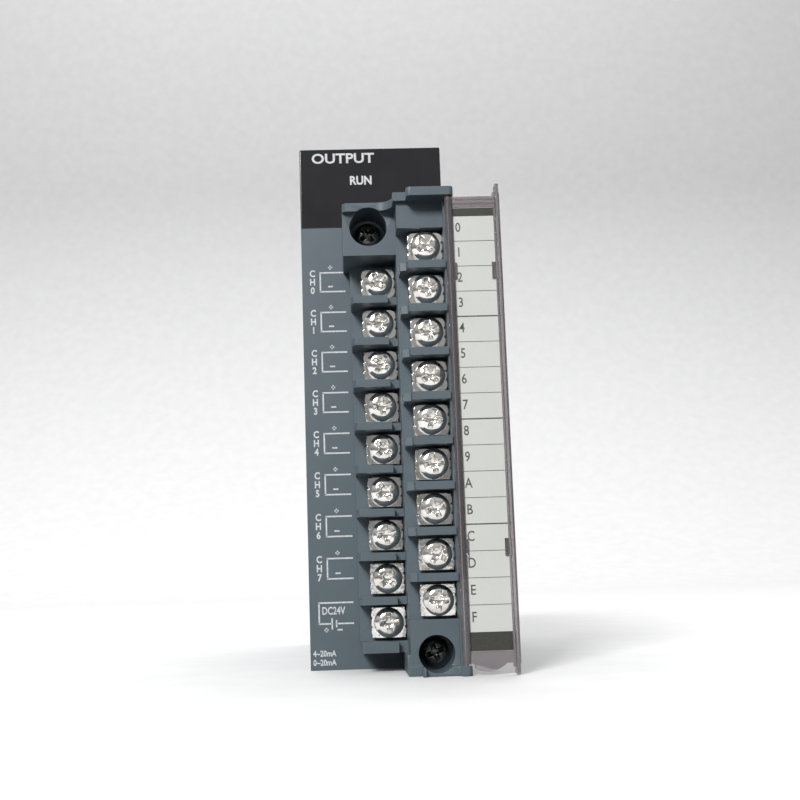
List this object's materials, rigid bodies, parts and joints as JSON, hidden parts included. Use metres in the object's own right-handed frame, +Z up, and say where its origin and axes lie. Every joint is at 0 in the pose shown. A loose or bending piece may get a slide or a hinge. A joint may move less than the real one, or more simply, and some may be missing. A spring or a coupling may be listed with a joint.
{
  "type": "plc module",
  "caption": "Slim rack-mounted controller module with a detachable two-tier screw terminal block and a hinged clear cover with a label strip.",
  "frame": {"origin": "centre of the rear mounting face that lies on the rack", "axes": "+X to the right seen from the front, +Y into the rack (the printed front looks along -Y), +Z up"},
  "size_m": [0.0346, 0.1162, 0.098],
  "materials": {
    "housing_grey": "fine moulded texture, blue-grey",
    "base_grey": "moulded, dark blue-grey",
    "window_black": "semi-gloss smoked black",
    "light_pipe": "clear moulded",
    "led_lens": "diffuse lens, unlit",
    "label_paper": "printed paper strip",
    "cover_clear": "clear smoky moulded plastic",
    "black_plastic": "moulded black",
    "circuit_board": "green solder mask",
    "chip_black": "moulded epoxy",
    "optocoupler_white": "moulded",
    "capacitor_sleeve": "satin can",
    "contact_brass": "bright",
    "nickel": "nickel plated, bright",
    "plated_steel": "zinc plated",
    "screw_black": "glossy black"
  },
  "bodies": {
    "module": {"rear_case": "housing_grey", "front_bezel": "housing_grey", "head_window": "window_black", "led_light_pipe": "light_pipe", "run_led": "led_lens", "rating_label": "label_paper", "lever_pin": "plated_steel", "lever_spring": "plated_steel", "backplane_connector": "black_plastic", "backplane_contacts": "contact_brass", "main_board": "circuit_board", "analog_board": "circuit_board", "interface_board": "circuit_board", "board_header": "black_plastic", "board_spacers": "contact_brass", "board_screws": "plated_steel", "dc_dc_converter": "black_plastic", "capacitors": "capacitor_sleeve", "controller_chip": "chip_black", "output_chips": "chip_black", "optocouplers": "optocoupler_white", "terminal_socket": "black_plastic", "socket_pins": "contact_brass", "threaded_inserts": "contact_brass"},
    "lever": {"release_lever": "housing_grey"},
    "terminal_block": {"terminal_block_housing": "housing_grey", "block_base": "base_grey", "terminal_plates_left": "nickel", "terminal_plates_right": "nickel", "clamp_washers_left": "nickel", "clamp_washers_right": "nickel", "terminal_screws_left": "nickel", "terminal_screws_right": "nickel", "screw_retaining_rings": "plated_steel"},
    "upper_screw": {"upper_mounting_screw": "screw_black"},
    "lower_screw": {"lower_mounting_screw": "screw_black"},
    "cover": {"terminal_cover": "cover_clear", "label_strip": "label_paper"}
  },
  "joints": [
    {"name": "release_press", "type": "hinge", "parent": "module", "child": "lever", "pos_m": [-0.004, -0.0255, 0.044], "axis": [-1, 0, 0], "range_deg": [0, 8], "stiffness_Nm_per_rad": 0.02, "springref_deg": -2.86, "deforming": ["lever_spring"]},
    {"name": "block_pull", "type": "slide", "parent": "module", "child": "terminal_block", "axis": [0, -1, 0], "range_m": [0, 0.03]},
    {"name": "upper_screw_turn", "type": "hinge", "parent": "terminal_block", "child": "upper_screw", "pos_m": [-0.00112, -0.098, 0.0293], "axis": [0, -1, 0], "continuous": true},
    {"name": "lower_screw_turn", "type": "hinge", "parent": "terminal_block", "child": "lower_screw", "pos_m": [0.00795, -0.1034, -0.04545], "axis": [0, -1, 0], "continuous": true},
    {"name": "cover_hinge", "type": "hinge", "parent": "terminal_block", "child": "cover", "pos_m": [0.0126, -0.11, 0], "axis": [0, 0, -1], "range_deg": [0, 180]}
  ]
}
